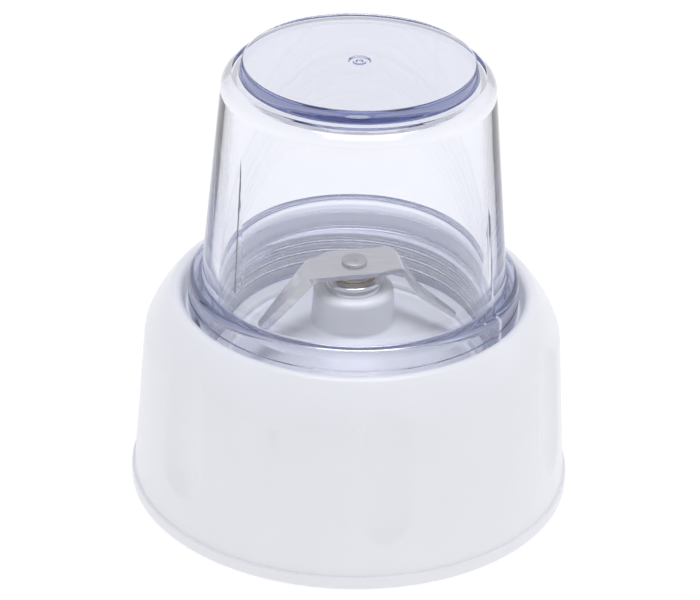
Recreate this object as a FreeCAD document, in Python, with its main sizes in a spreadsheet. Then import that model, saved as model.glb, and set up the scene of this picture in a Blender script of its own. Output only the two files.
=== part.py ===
"""Dry-mill attachment of a countertop blender: a clear cup screwed upside down into a white blade base.

Millimetres, +Z up. The origin is the centre of the plane that the foot rim stands on, and +Z is the
axis of the cutter shaft and of the cup. Each sub-part is one object, whose Label is its file's name.
"""
import FreeCAD, Part
import math
import os

import Sketcher

doc = FreeCAD.newDocument("DryMill")
SPIN = FreeCAD.Vector(0, 0, 1)
PAST = 1.0  # how far a cutting tool reaches past what it cuts
THROUGH = 60.0  # height of a tool that cuts all the way through
# ---------------------------------------------------------------- driving dimensions

DIMENSIONS = {
    # outer skirt
    "foot_radius": 62.0, "foot_height": 3.7, "foot_round": 0.7, "foot_step": 0.8,
    "skirt_top_radius": 58.1, "skirt_top_level": 46.6, "skirt_bend_reach": 1.5, "skirt_bend_radius": 10.0,
    "skirt_bend_lean": 19.0,
    "shoulder_radius": 35.0, "crest_radius": 49.6, "crest_level": 59.4, "crest_round": 2.2,
    "crest_outer_angle": 42.0, "crest_inner_angle": 150.0,
    "mouth_radius": 46.7, "mouth_level": 55.6, "mouth_bottom": 54.4, "skirt_wall": 2.4,
    # grip flutes scooped out of the skirt
    "flute_count": 6, "flute_angle": -80.4, "flute_scoop": 21.0, "flute_depth": 2.0, "flute_low": 23.8,
    # inner bowl
    "collar_outer": 47.8, "collar_room": 0.4, "collar_bore": 44.4, "collar_top": 54.2,
    "trough_level": 39.3, "bowl_underside": 36.8,
    "dome_foot": 34.0, "boss_foot_radius": 11.75, "boss_foot_level": 49.7, "boss_radius": 11.3,
    "boss_top": 59.8, "boss_round": 2.4, "boss_bore": 7.25, "hub_radius": 13.0, "hub_bottom": 40.0,
    "bowl_floor": 2.5, "rib_count": 6, "rib_angle": 15.0, "rib_thickness": 1.8,
    "ear_radius": 4.4, "ear_thickness": 3.0, "ear_bottom": 41.0,
    # two-start thread between cup and bowl
    "thread_lead": 6.2, "thread_start": 43.0, "thread_root": 0.75, "thread_tip": 0.4, "thread_bite": 0.5,
    "cup_crest": 43.9, "cup_thread_turns": 1.6,
    "bowl_crest": 43.0, "bowl_thread_turns": 1.35, "bowl_thread_turned": 7.0,
    # clear cup
    "cup_rim": 41.2, "cup_rim_inner": 39.4, "neck_radius": 42.4, "ring_bottom": 54.5, "ring_radius": 46.0,
    "ring_edge": 62.3, "ring_top": 64.7, "ring_face": 44.4, "wall_low_radius": 42.4, "wall_top_radius": 37.2,
    "wall_top_level": 120.8, "shoulder_round": 4.7, "disc_base_radius": 34.4, "disc_base_level": 125.2,
    "disc_foot_radius": 32.3, "disc_top_radius": 31.2, "disc_top": 128.6, "disc_edge": 0.5,
    "gate_radius": 2.7, "gate_depth": 0.3,
    "cup_top_inner": 34.9, "cup_ceiling": 122.4, "ceiling_round": 3.2, "cup_turned": -22.0,
    "cup_rib_depth": 2.8, "cup_rib_thickness": 1.1, "cup_rib_bottom": 48.0, "cup_rib_top": 90.0,
    # silicone gasket under the cup's rim
    "gasket_inner": 35.8, "gasket_outer": 42.6, "gasket_bottom": 39.35, "gasket_top": 41.15,
    "gasket_groove": 0.4,
    # bearing
    "sleeve_outer": 7.2, "sleeve_bore": 5.82, "sleeve_bottom": 31.2, "sleeve_flange": 7.6,
    "sleeve_flange_top": 61.4, "o_ring_level": 55.0, "o_ring_height": 1.5, "o_ring_depth": 0.7,
    "cap_radius": 8.3, "cap_top": 62.8, "cap_opening": 5.95, "cap_round": 1.5,
    "bush_outer": 5.8, "bush_bore": 4.04, "upper_bush_bottom": 50.0, "upper_bush_top": 63.0,
    "lower_bush_top": 41.4, "felt_bottom": 41.6, "felt_top": 46.4, "lip_seal_bottom": 46.6,
    "lip_seal_top": 49.8, "nut_radius": 10.5, "nut_bottom": 34.5, "nut_top": 39.0, "nut_washer_radius": 11.5,
    # cutter and shaft
    "shaft_radius": 4.0, "shaft_step": 24.0, "shaft_end": 14.0, "shaft_hexagon": 3.4, "shaft_neck": 3.0,
    "shaft_shoulder": 65.3, "rivet_radius": 3.6, "rivet_top": 67.9, "rivet_round": 0.5,
    "clip_groove": 3.5, "clip_bottom": 29.2, "clip_top": 30.3, "clip_radius": 6.4, "clip_gap": 3.0,
    "screw_hole": 1.95, "screw_hole_top": 22.0,
    "low_washer_radius": 6.6, "low_washer_top": 31.05,
    "top_washer_radius": 5.4, "top_washer_bottom": 63.1, "spacer_bottom": 63.6, "spacer_radius": 4.9,
    "blade_top": 66.8, "blade_sheet": 1.5, "blade_turned": 12.0, "blade_flat_left": 11.0,
    "blade_flat_right": 11.4, "blade_bend": 1.5, "left_wing_angle": 51.0, "left_wing_length": 21.5,
    "right_wing_angle": 56.0, "right_wing_length": 9.0, "right_tip_angle": 39.0, "right_tip_bend": 8.0,
    "right_tip_length": 13.0, "blade_half_width": 7.0, "blade_corner": 4.4, "wing_tip_half_width": 1.9,
    "blade_clip_left": 5.0, "blade_clip_right": 6.0, "blade_plan_level": 40.0, "blade_hole_depth": 5.0,
    "blade_shoulder": 7.0, "right_tip_near": 29.0,
    "right_tip_far": 28.5, "right_tip_reach": 33.0, "left_tip_reach": 30.0,
    # driven coupling
    "insert_radius": 6.0, "insert_flange": 8.0,
    "insert_bottom": 13.5, "insert_step": 22.0, "insert_top": 23.5,
    "coupling_bore": 6.05, "coupling_hub": 11.0, "coupling_bottom": 9.0, "coupling_disc": 15.0,
    "coupling_disc_bottom": 21.0, "coupling_bevel": 0.8,
    "lobe_count": 6, "lobe_reach": 12.4, "lobe_radius": 2.4,
    "coupling_screw_head": 3.8, "coupling_screw_bottom": 10.2, "coupling_washer_bottom": 12.6,
    "coupling_washer_radius": 5.0, "coupling_screw_top": 21.0, "coupling_screw_radius": 1.9,
    "coupling_screw_recess": 1.9, "coupling_recess_depth": 1.5, "insert_fit": 0.05,
    # bayonet ring for the motor base
    "lock_bore": 50.0, "lock_tube": 52.4, "lock_bottom": 3.0, "lock_top": 13.0, "lock_flange": 57.3,
    "lock_flange_thickness": 2.5, "lug_radius": 46.8, "lug_thickness": 3.5, "lug_angle": 24.0,
    # screws and the posts that they bite in
    "post_radius": 3.4, "post_pilot": 1.3, "bowl_post_reach": 51.2, "lock_post_reach": 54.8,
    "screw_radius": 1.25, "screw_clearance": 1.6, "screw_head": 2.2, "screw_head_height": 2.0,
    "screw_length": 9.0, "screw_slot": 0.8, "screw_slot_depth": 0.8,
}

sheet = doc.addObject("Spreadsheet::Sheet", "Dims")
for row, (name, number) in enumerate(DIMENSIONS.items(), start=1):
    sheet.set(f"A{row}", name)
    sheet.set(f"B{row}", str(number))
    sheet.setAlias(f"B{row}", name)
doc.recompute()


class Size:
    """A length or angle that carries its number and the sheet expression that gives it."""

    def __init__(self, value, text=None):
        self.value = float(value)
        self.text = text or repr(float(value))

    def __add__(self, other):
        other = size(other)
        return Size(self.value + other.value, f"({self.text} + {other.text})")

    def __sub__(self, other):
        other = size(other)
        return Size(self.value - other.value, f"({self.text} - {other.text})")

    def __mul__(self, other):
        other = size(other)
        return Size(self.value * other.value, f"({self.text} * {other.text})")

    def __truediv__(self, other):
        other = size(other)
        return Size(self.value / other.value, f"({self.text} / {other.text})")

    def __neg__(self):
        return Size(-self.value, f"(-1 * {self.text})")

    __radd__ = __add__
    __rmul__ = __mul__

    def __rsub__(self, other):
        return size(other) - self


def size(number):
    return number if isinstance(number, Size) else Size(number)


def sine(angle):
    angle = size(angle)
    return Size(math.sin(math.radians(angle.value)), f"sin({angle.text} * 1 deg)")


def cosine(angle):
    angle = size(angle)
    return Size(math.cos(math.radians(angle.value)), f"cos({angle.text} * 1 deg)")


class Dims:
    """The sheet's cells by alias, as sizes."""

    def __getattr__(self, name):
        return Size(DIMENSIONS[name], "Dims." + name)


d = Dims()


# ---------------------------------------------------------------- helpers

def bind(target, **sizes):
    """Set properties from sizes, each bound to the sheet."""
    for name, amount in sizes.items():
        setattr(target, name, size(amount).value)
        target.setExpression(name, size(amount).text)
    return target


def place(target, x=0, y=0, z=0, turn=0):
    """Place an object, turned about +Z through the origin after it is moved to (x, y, z)."""
    turn, x, y, z = size(turn), size(x), size(y), size(z)
    across = x * cosine(turn) - y * sine(turn)
    along = x * sine(turn) + y * cosine(turn)
    spot = FreeCAD.Vector(across.value, along.value, z.value)
    target.Placement = FreeCAD.Placement(spot, FreeCAD.Rotation(SPIN, turn.value))
    target.setExpression("Placement.Base.x", across.text)
    target.setExpression("Placement.Base.y", along.text)
    target.setExpression("Placement.Base.z", z.text)
    target.setExpression("Placement.Rotation.Angle", turn.text)
    return target


def new_body(label):
    body = doc.addObject("PartDesign::Body", label)
    body.Label = label
    return body


def new_sketch(body, name, plane="XZ_Plane", level=None):
    """A sketch on one of the body's own origin planes, raised to a level where one is given."""
    sketch = body.newObject("Sketcher::SketchObject", name)
    support = next(p for p in body.Origin.OriginFeatures if p.Role == plane)
    sketch.AttachmentSupport = (support, [""])
    sketch.MapMode = "FlatFace"
    if level is not None:
        sketch.AttachmentOffset.Base.z = size(level).value
        sketch.setExpression("AttachmentOffset.Base.z", size(level).text)
    return sketch


def pin_point(sketch, geometry, end, axis, amount):
    """Hold one coordinate of a point at a size: axis 0 is the sketch's X and 1 its Y."""
    amount = size(amount)
    if abs(amount.value) < 1e-9:
        sketch.addConstraint(Sketcher.Constraint("PointOnObject", geometry, end, -2 + axis))
        return
    kind = ("DistanceX", "DistanceY")[axis]
    number = sketch.addConstraint(Sketcher.Constraint(kind, -1, 1, geometry, end, amount.value))
    if "Dims." in amount.text:
        sketch.setExpression(f"Constraints[{number}]", amount.text)


def draw(sketch, outline):
    """Draw a closed outline of corners (x, y). A corner (x, y, radius) is reached by an arc, which turns
    anticlockwise where the radius is positive and clockwise where it is negative."""
    corners = [(size(c[0]), size(c[1])) for c in outline]
    first = sketch.GeometryCount
    ends = []
    for i, corner in enumerate(outline):
        (x0, y0), (x1, y1) = [(a.value, b.value) for a, b in (corners[i - 1], corners[i])]
        start, end = FreeCAD.Vector(x0, y0, 0), FreeCAD.Vector(x1, y1, 0)
        if len(corner) == 2:
            sketch.addGeometry(Part.LineSegment(start, end))
            ends.append((1, 2))
            continue
        radius = size(corner[2])
        chord = end - start
        side = FreeCAD.Vector(-chord.y, chord.x, 0).normalize()
        rise = math.sqrt(radius.value ** 2 - chord.Length ** 2 / 4)
        centre = (start + end) * 0.5 + side * math.copysign(rise, radius.value)
        angles = [math.atan2(p.y - centre.y, p.x - centre.x) for p in (start, end)]
        if radius.value < 0:
            angles.reverse()
        circle = Part.Circle(centre, FreeCAD.Vector(0, 0, 1), abs(radius.value))
        sketch.addGeometry(Part.ArcOfCircle(circle, *angles))
        ends.append((1, 2) if radius.value > 0 else (2, 1))
    for i, corner in enumerate(outline):
        following = (i + 1) % len(outline)
        here = (first + i, ends[i][1])
        sketch.addConstraint(Sketcher.Constraint("Coincident", *here, first + following, ends[following][0]))
        pin_point(sketch, *here, 0, corners[i][0])
        pin_point(sketch, *here, 1, corners[i][1])
        if len(corner) == 3:
            radius = size(corner[2])
            radius = -radius if radius.value < 0 else radius
            number = sketch.addConstraint(Sketcher.Constraint("Radius", first + i, radius.value))
            sketch.setExpression(f"Constraints[{number}]", radius.text)


def revolve(body, name, outline, kind="Revolution"):
    """Turn an outline of (radius, level) corners about the body's Z axis."""
    sketch = new_sketch(body, name + "_outline")
    draw(sketch, outline)
    feature = body.newObject("PartDesign::" + kind, name)
    feature.Profile = sketch
    feature.ReferenceAxis = (sketch, ["V_Axis"])
    feature.Angle = 360
    return feature


def turned(label, outline):
    """A sub-part that is one solid of revolution."""
    body = new_body(label)
    revolve(body, label + "_turning", outline)
    return body


def tube(label, inner, outer, bottom, top):
    return turned(label, [(inner, bottom), (outer, bottom), (outer, top), (inner, top)])


def pad(body, name, sketch, length, both_ways=False):
    feature = body.newObject("PartDesign::Pad", name)
    feature.Profile = sketch
    feature.Midplane = both_ways
    return bind(feature, Length=length)


def cylinder(name, radius, height, bottom=0, reach=0, turn=0):
    """An upright cylinder, reach away from the Z axis in the direction of turn."""
    solid = doc.addObject("Part::Cylinder", name)
    bind(solid, Radius=radius, Height=height)
    return place(solid, x=reach, z=bottom, turn=turn)


def box(name, length, width, height, x=0, bottom=0, turn=0):
    """A box centred on the XZ plane before it is turned about Z."""
    solid = doc.addObject("Part::Box", name)
    bind(solid, Length=length, Width=width, Height=height)
    return place(solid, x=x, y=-size(width) / 2, z=bottom, turn=turn)


def combine(kind, label, *members):
    """A Part boolean: Cut and Common take two members, MultiFuse any number."""
    result = doc.addObject("Part::" + kind, label)
    result.Label = label
    if kind == "MultiFuse":
        result.Shapes = list(members)
    else:
        result.Base, result.Tool = members
    return result


def around(count, first=0):
    """The angles of this many equal steps round the axis."""
    return [first + size(360) / count * step for step in range(int(count.value))]


def thread_starts(name, root, crest, level, turns, turn=0):
    """The two starts of a right-hand thread, the first at this level on the XZ plane. turn moves the
    ends of both starts round the axis along the thread's own path, so the thread stays where it is."""
    starts = []
    middle = level + d.thread_lead * turn / 360
    for number, side in enumerate((1, -1), start=1):
        body = new_body(f"{name}{number}")
        sketch = new_sketch(body, f"{name}_profile{number}")
        corners = [(root, middle - d.thread_root), (crest, middle - d.thread_tip),
                   (crest, middle + d.thread_tip), (root, middle + d.thread_root)]
        draw(sketch, [(side * r, level) for r, level in corners])
        helix = body.newObject("PartDesign::AdditiveHelix", f"{name}_helix{number}")
        helix.Profile = sketch
        helix.ReferenceAxis = (sketch, ["V_Axis"])
        helix.Mode = "pitch-turns-angle"
        bind(helix, Pitch=d.thread_lead, Turns=turns)
        starts.append(place(body, turn=turn))
    return starts


# ---------------------------------------------------------------- white base

SKIRT_SLOPE = (d.foot_radius - d.foot_step - d.skirt_top_radius) / (d.skirt_top_level - d.foot_height)
FLUTE_TURNS = around(d.flute_count, d.flute_angle)
POST_TURNS = around(d.flute_count, d.flute_angle + size(180) / d.flute_count)
BOWL_POSTS = POST_TURNS[0::2]
LOCK_POSTS = POST_TURNS[1::2]


def skirt_outline(inset):
    """The skirt's side and shoulder from the foot to the crest, moved inwards by the wall's thickness."""
    inset = size(inset)
    low_radius = d.foot_radius - d.foot_step - inset
    bend_low = (d.skirt_top_radius + SKIRT_SLOPE * d.skirt_bend_reach - inset,
                d.skirt_top_level - d.skirt_bend_reach)
    lean = d.skirt_bend_lean
    bend_high = (d.skirt_top_radius - sine(lean) * d.skirt_bend_reach - inset,
                 d.skirt_top_level + cosine(lean) * d.skirt_bend_reach - inset * 0.2)
    reach = d.crest_round - inset
    hub = (d.crest_radius, d.crest_level - d.crest_round)
    crest_out = (hub[0] + reach * cosine(d.crest_outer_angle), hub[1] + reach * sine(d.crest_outer_angle))
    return low_radius, bend_low, bend_high, crest_out


def flute(name, scoop, turn):
    """An upright cylinder with a round lower end, leaning with the skirt, whose edge sinks into it."""
    low = d.flute_low
    skirt_here = d.foot_radius - d.foot_step - SKIRT_SLOPE * (low - d.foot_height)
    reach = skirt_here - d.flute_depth + d.flute_scoop
    lean = math.degrees(math.atan(SKIRT_SLOPE.value))
    shaft = doc.addObject("Part::Cylinder", name + "_side")
    ball = doc.addObject("Part::Sphere", name + "_end")
    bind(shaft, Radius=scoop, Height=d.crest_level - low + 5)
    bind(ball, Radius=scoop)
    for solid in (shaft, ball):
        place(solid, x=reach, z=low, turn=turn)
        solid.setExpression("Placement.Rotation.Angle", None)
        upright = FreeCAD.Rotation(SPIN, turn.value) * FreeCAD.Rotation(FreeCAD.Vector(0, 1, 0), -lean)
        solid.Placement = FreeCAD.Placement(solid.Placement.Base, upright)
    return combine("MultiFuse", name, shaft, ball)


def make_skirt():
    """Outer shell: foot rim, tapered skirt with grip flutes, shoulder and crest, and six screw posts."""
    low_radius, bend_low, bend_high, crest_out = skirt_outline(0)
    crest_in = (d.crest_radius + d.crest_round * cosine(d.crest_inner_angle),
                d.crest_level - d.crest_round + d.crest_round * sine(d.crest_inner_angle))
    outer = new_body("skirt_outside")
    revolve(outer, "skirt_outside_turning", [
        (0, 0), (d.foot_radius - d.foot_round, 0),
        (d.foot_radius, d.foot_round, d.foot_round),
        (d.foot_radius, d.foot_height - d.foot_round),
        (d.foot_radius - d.foot_round, d.foot_height, d.foot_round),
        (low_radius, d.foot_height), bend_low,
        (bend_high[0], bend_high[1], d.skirt_bend_radius),
        (crest_out[0], crest_out[1], d.shoulder_radius),
        (crest_in[0], crest_in[1], d.crest_round),
        (d.mouth_radius, d.mouth_level), (d.mouth_radius, d.mouth_bottom), (0, d.mouth_bottom)])

    wall = d.skirt_wall
    low_radius, bend_low, bend_high, crest_out = skirt_outline(wall)
    inner = new_body("skirt_inside")
    lip_inner = d.collar_outer + d.collar_room
    revolve(inner, "skirt_inside_turning", [
        (0, -PAST), (low_radius, -PAST), (low_radius, d.foot_height), bend_low,
        (bend_high[0], bend_high[1], d.skirt_bend_radius - wall),
        (crest_out[0], crest_out[1], d.shoulder_radius - wall),
        (lip_inner, d.mouth_bottom + 1), (lip_inner, d.mouth_bottom), (0, d.mouth_bottom)])
    mouth = cylinder("skirt_mouth", d.mouth_radius, THROUGH, bottom=d.mouth_bottom - PAST)

    scoops, backs = [], []
    for number, turn in enumerate(FLUTE_TURNS):
        scoops.append(flute(f"flute{number}", d.flute_scoop, turn))
        backs.append(flute(f"flute_back{number}", d.flute_scoop + wall, turn))
    hollow = combine("Cut", "skirt_hollow", inner, combine("MultiFuse", "flute_backs", *backs))

    posts, pilots = [], []
    groups = [(BOWL_POSTS, d.bowl_post_reach, d.ear_bottom + d.ear_thickness, d.mouth_level),
              (LOCK_POSTS, d.lock_post_reach, d.lock_top, d.skirt_top_level)]
    for turns, reach, bottom, top in groups:
        for turn in turns:
            name = f"post{len(posts)}"
            posts.append(cylinder(name, d.post_radius, top - bottom, bottom, reach, turn))
            pilots.append(cylinder(name + "_pilot", d.post_pilot, d.screw_length, bottom - 0.5, reach, turn))
    inside_posts = combine("Common", "posts_in_skirt", combine("MultiFuse", "posts", *posts), outer)
    collar_room = cylinder("collar_room", lip_inner, THROUGH)

    shell = combine("Cut", "skirt_walls", outer, combine("MultiFuse", "skirt_cuts", hollow, mouth))
    shell = combine("MultiFuse", "skirt_with_posts", shell,
                    combine("Cut", "trimmed_posts", inside_posts, collar_room))
    combine("Cut", "skirt_shell", shell, combine("MultiFuse", "skirt_tools", *scoops, *pilots))


def make_bowl():
    """Inner bowl: threaded collar, gasket trough, domed floor, bearing boss, ribs and screw ears below."""
    bowl = new_body("bowl_turned")
    dome_slope = (d.boss_foot_level - d.trough_level) / (d.dome_foot - d.boss_foot_radius)
    hub_under = d.boss_foot_level - d.bowl_floor - dome_slope * (d.hub_radius - d.boss_foot_radius)
    top_side = [(d.boss_radius, d.boss_top - d.boss_round),
                (d.boss_radius - d.boss_round, d.boss_top, d.boss_round), (d.boss_bore, d.boss_top)]
    upper = [(d.collar_outer, d.bowl_underside), (d.collar_outer, d.collar_top),
             (d.collar_bore, d.collar_top), (d.collar_bore, d.trough_level),
             (d.dome_foot, d.trough_level), (d.boss_foot_radius, d.boss_foot_level), *top_side]
    revolve(bowl, "bowl_turning", [
        (d.boss_bore, d.hub_bottom), (d.hub_radius, d.hub_bottom), (d.hub_radius, hub_under),
        (d.dome_foot - 0.6, d.bowl_underside), *upper])

    filled = turned("bowl_filled", [(d.hub_radius - 0.5, d.bowl_underside), *upper[:-3],
                                    (d.hub_radius - 0.5, d.boss_foot_level - 1)])
    ribs = []
    for number, turn in enumerate(around(d.rib_count, d.rib_angle)):
        ribs.append(box(f"bowl_rib{number}", d.dome_foot - d.hub_radius + PAST, d.rib_thickness,
                        d.boss_foot_level - d.bowl_underside, d.hub_radius - 0.5, d.bowl_underside, turn))
    ribs = combine("Common", "bowl_ribs", combine("MultiFuse", "bowl_rib_boxes", *ribs), filled)

    ears, holes = [], []
    for number, turn in enumerate(BOWL_POSTS):
        start = d.collar_outer - 1.5
        ears.append(box(f"ear{number}", d.bowl_post_reach - start, d.ear_radius * 2, d.ear_thickness,
                        x=start, bottom=d.ear_bottom, turn=turn))
        ears.append(cylinder(f"ear_end{number}", d.ear_radius, d.ear_thickness, d.ear_bottom,
                             d.bowl_post_reach, turn))
        holes.append(cylinder(f"ear_hole{number}", d.screw_clearance, d.ear_thickness + 2 * PAST,
                              d.ear_bottom - PAST, d.bowl_post_reach, turn))
    solid = combine("MultiFuse", "bowl_with_ears", bowl, ribs, *ears)
    solid = combine("Cut", "bowl_drilled", solid, combine("MultiFuse", "ear_holes", *holes))
    threads = thread_starts("bowl_thread", d.collar_bore + d.thread_bite, d.bowl_crest,
                            d.thread_start + d.thread_lead / 4, d.bowl_thread_turns, d.bowl_thread_turned)
    combine("MultiFuse", "mill_bowl", solid, *threads).Refine = False


def make_lock_ring():
    """Bayonet ring: a tube with three inward lugs, and a flange that screws to the skirt's long posts."""
    shelf = d.lock_top - d.lock_flange_thickness
    ring = turned("lock_ring_turned", [
        (d.lock_bore, d.lock_bottom), (d.lock_tube, d.lock_bottom), (d.lock_tube, shelf),
        (d.lock_flange, shelf), (d.lock_flange, d.lock_top), (d.lock_bore, d.lock_top)])
    lugs, holes = [], []
    for number, turn in enumerate(LOCK_POSTS):
        wedge = doc.addObject("Part::Cylinder", f"lug{number}")
        bind(wedge, Radius=d.lock_bore + 0.5, Height=d.lug_thickness, Angle=d.lug_angle)
        lugs.append(place(wedge, z=d.lock_bottom, turn=turn - d.lug_angle / 2 + 60))
        holes.append(cylinder(f"lock_hole{number}", d.screw_clearance, d.lock_flange_thickness + 2 * PAST,
                              shelf - PAST, d.lock_post_reach, turn))
    middle = cylinder("lug_bore", d.lug_radius, THROUGH)
    lugs = combine("Cut", "lock_lugs", combine("MultiFuse", "lug_wedges", *lugs), middle)
    whole = combine("MultiFuse", "lock_ring_with_lugs", ring, lugs)
    combine("Cut", "lock_ring", whole, combine("MultiFuse", "lock_holes", *holes))


def make_screws(label, turns, reach, seat):
    """Identical slotted screws, head down, each with its own solid in one node."""
    screws = []
    for number, turn in enumerate(turns):
        name = f"{label}{number}"
        low = seat - d.screw_head_height
        head = cylinder(name + "_head", d.screw_head, d.screw_head_height, low, reach, turn)
        shank = cylinder(name + "_shank", d.screw_radius, d.screw_length, seat - 0.2, reach, turn)
        slot = box(name + "_slot", d.screw_head * 2, d.screw_slot, d.screw_slot_depth,
                   x=reach - d.screw_head, bottom=low, turn=turn)
        screws.append(combine("Cut", name, combine("MultiFuse", name + "_blank", head, shank), slot))
    group = doc.addObject("Part::Compound", label)
    group.Label = label
    group.Links = screws


# ---------------------------------------------------------------- cup and gasket

def make_cup():
    """Clear cup, closed end up: neck with a two-start thread, ring flange, tapered wall and raised disc."""
    cup = new_body("cup_turned_body")
    wall_top = (d.wall_top_radius, d.wall_top_level)
    revolve(cup, "cup_turning", [
        (0, d.cup_ceiling), (d.cup_top_inner - d.ceiling_round, d.cup_ceiling),
        (d.cup_top_inner, d.cup_ceiling - d.ceiling_round, -d.ceiling_round),
        (d.cup_rim_inner, d.cup_rim), (d.neck_radius - 0.4, d.cup_rim), (d.neck_radius, d.cup_rim + 0.4),
        (d.neck_radius, d.ring_bottom), (d.ring_radius - 0.3, d.ring_bottom),
        (d.ring_radius, d.ring_bottom + 0.3), (d.ring_radius, d.ring_edge),
        (d.ring_face, d.ring_top, (d.ring_radius - d.ring_face) * 1.9),
        (d.wall_low_radius + 0.6, d.ring_top), (d.wall_low_radius - 0.05, d.ring_top + 0.6, -0.65),
        wall_top,
        (d.disc_base_radius, d.disc_base_level, d.shoulder_round),
        (d.disc_foot_radius, d.disc_base_level),
        (d.disc_top_radius + d.disc_edge, d.disc_top - d.disc_edge),
        (d.disc_top_radius, d.disc_top, d.disc_edge),
        (d.gate_radius, d.disc_top), (d.gate_radius - 0.3, d.disc_top - d.gate_depth),
        (0, d.disc_top - d.gate_depth)])
    sketch = new_sketch(cup, "cup_rib_sides")
    taper = (d.cup_rim_inner - d.cup_top_inner) / (d.cup_ceiling - d.ceiling_round - d.cup_rim)
    low = d.cup_rim_inner - taper * (d.cup_rib_bottom - d.cup_rim)
    high = d.cup_rim_inner - taper * (d.cup_rib_top - d.cup_rim)
    for side in (1, -1):
        draw(sketch, [(side * (low - d.cup_rib_depth), d.cup_rib_bottom),
                      (side * (low + 0.5), d.cup_rib_bottom),
                      (side * (high + 0.5), d.cup_rib_top), (side * high, d.cup_rib_top)])
    pad(cup, "cup_ribs", sketch, d.cup_rib_thickness, both_ways=True)
    threads = thread_starts("cup_thread", d.neck_radius - d.thread_bite, d.cup_crest,
                            d.thread_start + d.thread_lead * d.cup_turned / 360, d.cup_thread_turns)
    place(combine("MultiFuse", "mill_cup", cup, *threads), turn=d.cup_turned)


def make_gasket():
    """Flat silicone ring under the cup's rim, with a groove in its top face."""
    mid = (d.gasket_inner + d.gasket_outer) / 2
    turned("cup_gasket", [
        (d.gasket_inner, d.gasket_bottom), (d.gasket_outer, d.gasket_bottom), (d.gasket_outer, d.gasket_top),
        (mid + 0.6, d.gasket_top), (mid, d.gasket_top - d.gasket_groove), (mid - 0.6, d.gasket_top),
        (d.gasket_inner + 0.4, d.gasket_top), (d.gasket_inner, d.gasket_top - 0.4)])


# ---------------------------------------------------------------- bearing in the boss

def make_bearing():
    """Steel sleeve clamped in the boss by a nut, with bushes, felt and lip seal, under a polished cap."""
    ring_top = d.o_ring_level + d.o_ring_height
    groove = d.sleeve_outer - d.o_ring_depth
    turned("bearing_sleeve", [
        (d.sleeve_bore, d.sleeve_bottom), (d.sleeve_outer, d.sleeve_bottom), (d.sleeve_outer, d.o_ring_level),
        (groove, d.o_ring_level), (groove, ring_top), (d.sleeve_outer, ring_top),
        (d.sleeve_outer, d.boss_top), (d.sleeve_flange, d.boss_top),
        (d.sleeve_flange, d.sleeve_flange_top), (d.sleeve_bore, d.sleeve_flange_top)])
    bulge = d.o_ring_height / 2
    outer = d.boss_bore - 0.02
    turned("sleeve_seal", [
        (groove + 0.02, d.o_ring_level + 0.2), (outer - 0.3, d.o_ring_level + 0.05),
        (outer, d.o_ring_level + bulge - 0.2), (outer, d.o_ring_level + bulge + 0.2),
        (outer - 0.3, ring_top - 0.05), (groove + 0.02, ring_top - 0.2)])
    under = d.sleeve_flange_top + 0.02
    turned("bearing_cap", [
        (d.sleeve_flange + 0.05, d.boss_top + 0.02), (d.cap_radius, d.boss_top + 0.02),
        (d.cap_radius, d.cap_top - d.cap_round), (d.cap_radius - d.cap_round, d.cap_top, d.cap_round),
        (d.cap_opening + 0.3, d.cap_top), (d.cap_opening, d.cap_top - 0.3, 0.3),
        (d.cap_opening, under), (d.sleeve_flange + 0.05, under)])
    turned("upper_bush", [
        (d.bush_bore, d.upper_bush_bottom), (d.bush_outer, d.upper_bush_bottom),
        (d.bush_outer, d.upper_bush_top - 0.3), (d.bush_outer - 0.3, d.upper_bush_top),
        (d.bush_bore + 0.3, d.upper_bush_top), (d.bush_bore, d.upper_bush_top - 0.3)])
    tube("lower_bush", d.bush_bore, d.bush_outer, d.sleeve_bottom, d.lower_bush_top)
    tube("oil_felt", d.bush_bore + 0.06, d.bush_outer, d.felt_bottom, d.felt_top)
    turned("shaft_seal", [
        (d.bush_bore + 0.3, d.lip_seal_bottom), (d.bush_outer, d.lip_seal_bottom),
        (d.bush_outer, d.lip_seal_top), (d.bush_outer - 0.6, d.lip_seal_top),
        (d.bush_outer - 0.9, d.lip_seal_bottom + 1), (d.bush_bore + 0.8, d.lip_seal_bottom + 1),
        (d.bush_bore + 0.3, d.lip_seal_top - 0.4), (d.bush_bore + 0.01, d.lip_seal_top - 0.6)])
    tube("nut_washer", d.sleeve_outer + 0.05, d.nut_washer_radius, d.nut_top, d.hub_bottom)
    prism = doc.addObject("Part::Prism", "nut_blank")
    prism.Polygon = 6
    bind(prism, Circumradius=d.nut_radius, Height=d.nut_top - d.nut_bottom)
    place(prism, z=d.nut_bottom)
    bore = cylinder("nut_bore", d.sleeve_outer + 0.02, THROUGH)
    combine("Cut", "bearing_nut", prism, bore)


# ---------------------------------------------------------------- cutter, shaft and coupling

def make_shaft():
    """Shaft with a riveted head over the blade, a clip groove, and a hexagon end with a tapped hole."""
    shaft = turned("shaft_turned", [
        (0, d.shaft_step), (d.shaft_radius, d.shaft_step), (d.shaft_radius, d.clip_bottom),
        (d.clip_groove, d.clip_bottom), (d.clip_groove, d.clip_top), (d.shaft_radius, d.clip_top),
        (d.shaft_radius, d.shaft_shoulder), (d.shaft_neck, d.shaft_shoulder), (d.shaft_neck, d.blade_top),
        (d.rivet_radius, d.blade_top), (d.rivet_radius, d.rivet_top - d.rivet_round),
        (d.rivet_radius - d.rivet_round, d.rivet_top, d.rivet_round), (0, d.rivet_top)])
    end = doc.addObject("Part::Prism", "shaft_hexagon")
    end.Polygon = 6
    bind(end, Circumradius=d.shaft_hexagon, Height=d.shaft_step - d.shaft_end)
    place(end, z=d.shaft_end)
    hole = cylinder("shaft_hole", d.screw_hole, d.screw_hole_top - d.shaft_end + PAST, d.shaft_end - PAST)
    combine("Cut", "drive_shaft", combine("MultiFuse", "shaft_blank", shaft, end), hole)


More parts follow.
